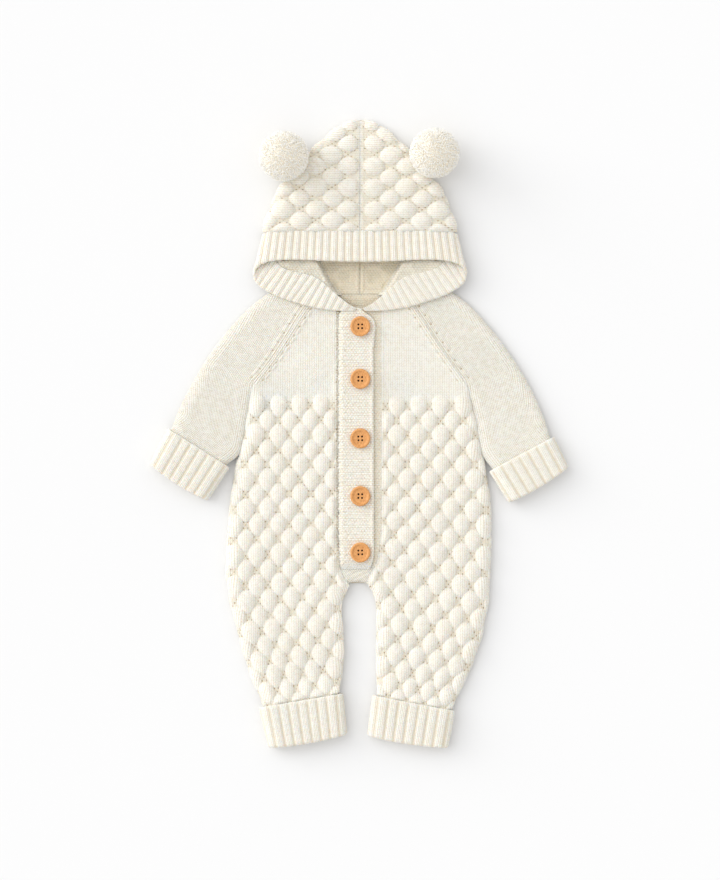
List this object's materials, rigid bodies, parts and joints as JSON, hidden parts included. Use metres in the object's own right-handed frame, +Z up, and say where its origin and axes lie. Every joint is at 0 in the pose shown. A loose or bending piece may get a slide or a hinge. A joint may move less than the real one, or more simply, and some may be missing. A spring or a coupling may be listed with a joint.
{
  "type": "baby romper",
  "caption": "Hooded knitted baby romper laid flat on its back, with raglan sleeves, turned-back ribbed cuffs, a buttoned front band and pompoms on the hood.",
  "frame": {"origin": "middle of the laid garment's bounding box, on the surface that it lies on", "axes": "+Z up, out of the front; +Y along the garment from the feet to the tip of the hood; +X towards the wearer's left side"},
  "size_m": [0.4193, 0.6279, 0.0509],
  "materials": {
    "knit": "matt chunky knit, ivory",
    "sleeve_knit": "matt stocking stitch, ivory",
    "hood_knit": "matt bubble stitch, ivory",
    "rib_knit": "matt ribbed knit, ivory",
    "band_knit": "matt garter stitch, ivory",
    "pompom_yarn": "soft cut yarn, ivory",
    "button_wood": "satin light wood"
  },
  "bodies": {
    "root": {"back": "knit", "front_right": "knit", "front_left": "knit", "sleeve_right": "sleeve_knit", "sleeve_left": "sleeve_knit", "wrist_cuff_right": "rib_knit", "wrist_cuff_left": "rib_knit", "ankle_cuff_right": "rib_knit", "ankle_cuff_left": "rib_knit", "hood_right": "hood_knit", "hood_left": "hood_knit", "hood_brim": "rib_knit", "band_under": "band_knit", "band_over": "band_knit", "crotch_gusset": "band_knit", "button_1": "button_wood", "button_2": "button_wood", "button_3": "button_wood", "button_4": "button_wood", "button_5": "button_wood", "pompom_right": "pompom_yarn", "pompom_left": "pompom_yarn"}
  },
  "joints": []
}
